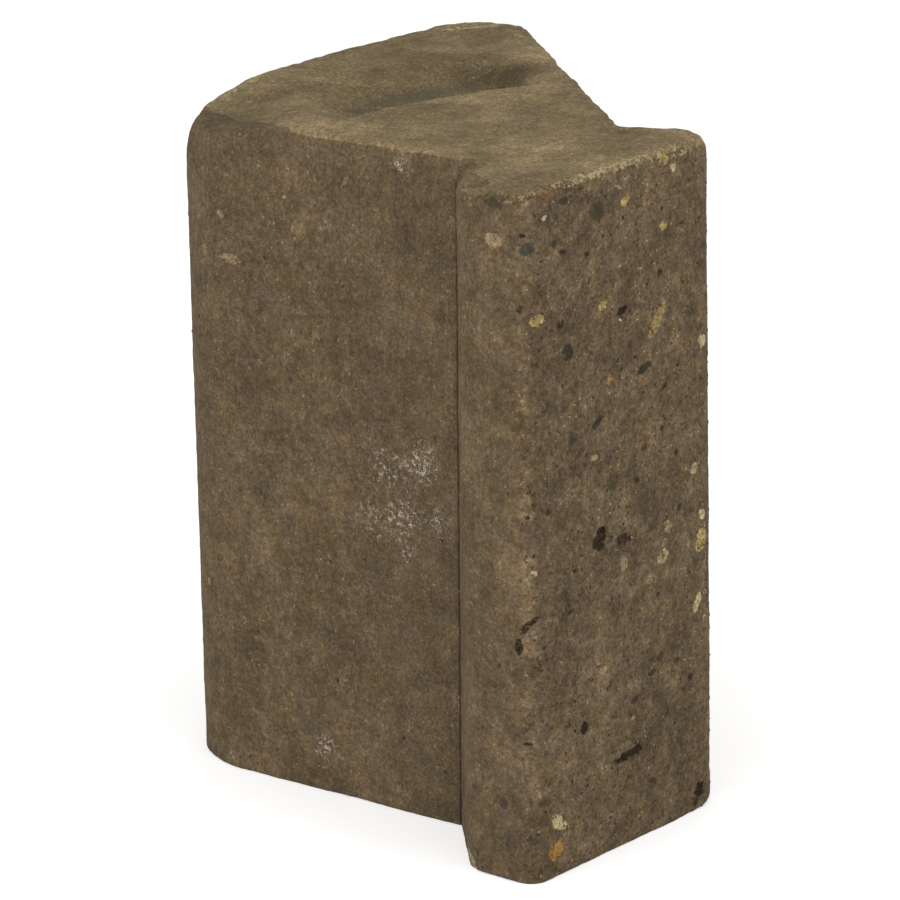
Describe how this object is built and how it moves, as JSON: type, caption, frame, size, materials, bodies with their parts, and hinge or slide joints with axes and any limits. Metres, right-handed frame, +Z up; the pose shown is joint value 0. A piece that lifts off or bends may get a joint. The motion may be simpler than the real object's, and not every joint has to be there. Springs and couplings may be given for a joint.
{
  "type": "concrete corner brick",
  "caption": "Cast concrete corner brick standing on end, with a rounded lip along the front, a wedge-shaped body behind it and a scooped hollow in its top end.",
  "frame": {"origin": "on the floor, under the middle of the brick's outer size as it stands on end", "axes": "+X along the front face, from the end of the lip that stands out most, +Y from the front face to the back, +Z up"},
  "size_m": [0.1772, 0.1624, 0.2],
  "materials": {
    "concrete": "weathered fine concrete with pits and pebbles showing"
  },
  "bodies": {
    "root": {"corner_brick": "concrete"}
  },
  "joints": []
}
